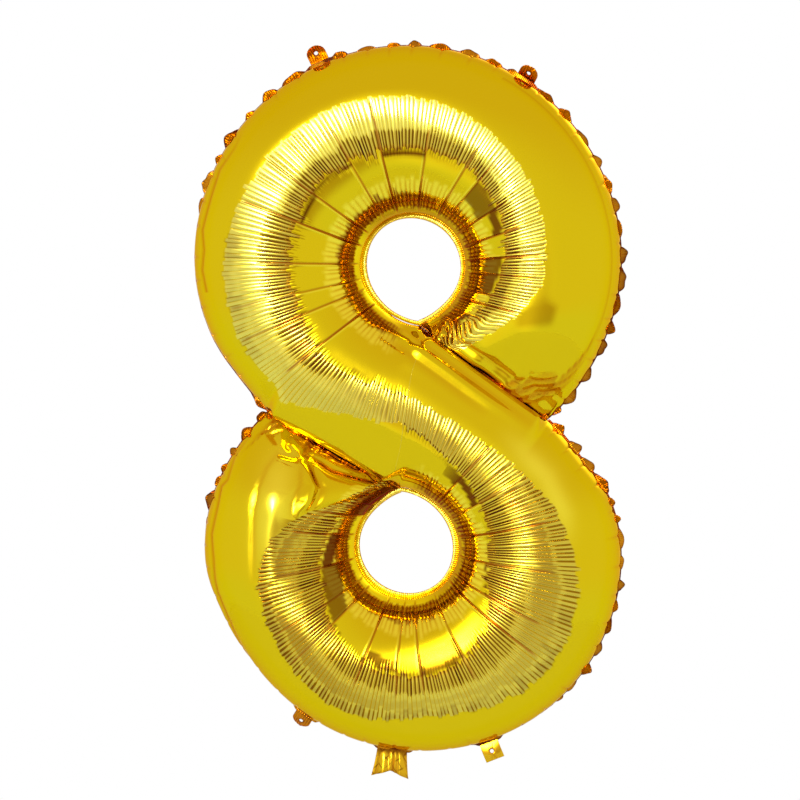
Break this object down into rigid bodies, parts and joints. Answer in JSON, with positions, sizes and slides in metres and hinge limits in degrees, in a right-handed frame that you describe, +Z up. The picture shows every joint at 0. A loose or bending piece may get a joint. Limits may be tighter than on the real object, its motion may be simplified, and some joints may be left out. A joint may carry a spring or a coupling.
{
  "type": "foil number balloon",
  "caption": "Inflated foil balloon shaped as the figure eight, one S-shaped tube closed by slit welds, with scalloped margin, punched hanging tabs and a filling neck.",
  "frame": {"origin": "middle of the whole balloon's box, in the plane where the two films are welded", "axes": "+Z up the figure, +X to the right of somebody who reads the figure, front towards -Y"},
  "size_m": [0.5488, 0.1608, 0.926],
  "materials": {
    "gold_foil": "mirror-bright metallised film, gold, finely pleated",
    "welded_margin": "amber-gold welded film with fine embossed ribs",
    "tab_film": "amber-gold welded film, creased",
    "neck_film": "creased gold film",
    "clear_valve_film": "clear soft film"
  },
  "bodies": {
    "balloon": {"front_film": "gold_foil", "back_film": "gold_foil", "outer_seam": "welded_margin", "upper_hole_seam": "welded_margin", "lower_hole_seam": "welded_margin", "upper_slit_seam": "welded_margin", "lower_slit_seam": "welded_margin", "valve_front_film": "clear_valve_film", "valve_back_film": "clear_valve_film"},
    "tab_upper_left": {"hang_tab_upper_left": "tab_film"},
    "tab_upper_right": {"hang_tab_upper_right": "tab_film"},
    "tab_lower_left": {"hang_tab_lower_left": "tab_film"},
    "tab_lower_right": {"hang_tab_lower_right": "tab_film"},
    "neck_front": {"neck_front_ply": "neck_film"},
    "neck_back": {"neck_back_ply": "neck_film"}
  },
  "joints": [
    {"name": "tab_upper_left_fold", "type": "hinge", "parent": "balloon", "child": "tab_upper_left", "pos_m": [-0.10892, 0, 0.43725], "axis": [-0.9135, 0, -0.4067], "range_deg": [-65, 105], "stiffness_Nm_per_rad": 0.0002},
    {"name": "tab_upper_right_fold", "type": "hinge", "parent": "balloon", "child": "tab_upper_right", "pos_m": [0.14747, 0, 0.41438], "axis": [-0.848, 0, 0.5299], "range_deg": [-25, 145], "stiffness_Nm_per_rad": 0.0002},
    {"name": "tab_lower_left_fold", "type": "hinge", "parent": "balloon", "child": "tab_lower_left", "pos_m": [-0.12998, 0, -0.38363], "axis": [0.848, 0, -0.5299], "range_deg": [-115, 55], "stiffness_Nm_per_rad": 0.0002},
    {"name": "tab_lower_right_fold", "type": "hinge", "parent": "balloon", "child": "tab_lower_right", "pos_m": [0.10294, 0, -0.41533], "axis": [0.9272, 0, 0.3746], "range_deg": [-70, 100], "stiffness_Nm_per_rad": 0.0002},
    {"name": "neck_fold", "type": "hinge", "parent": "balloon", "child": "neck_front", "pos_m": [-0.01881, 0, -0.42705], "axis": [0.9962, 0, -0.0872], "range_deg": [-60, 60], "stiffness_Nm_per_rad": 0.001},
    {"name": "mouth_open", "type": "hinge", "parent": "neck_front", "child": "neck_back", "pos_m": [-0.01881, 0, -0.42705], "axis": [0.9962, 0, -0.0872], "range_deg": [0, 12], "stiffness_Nm_per_rad": 0.0005}
  ]
}
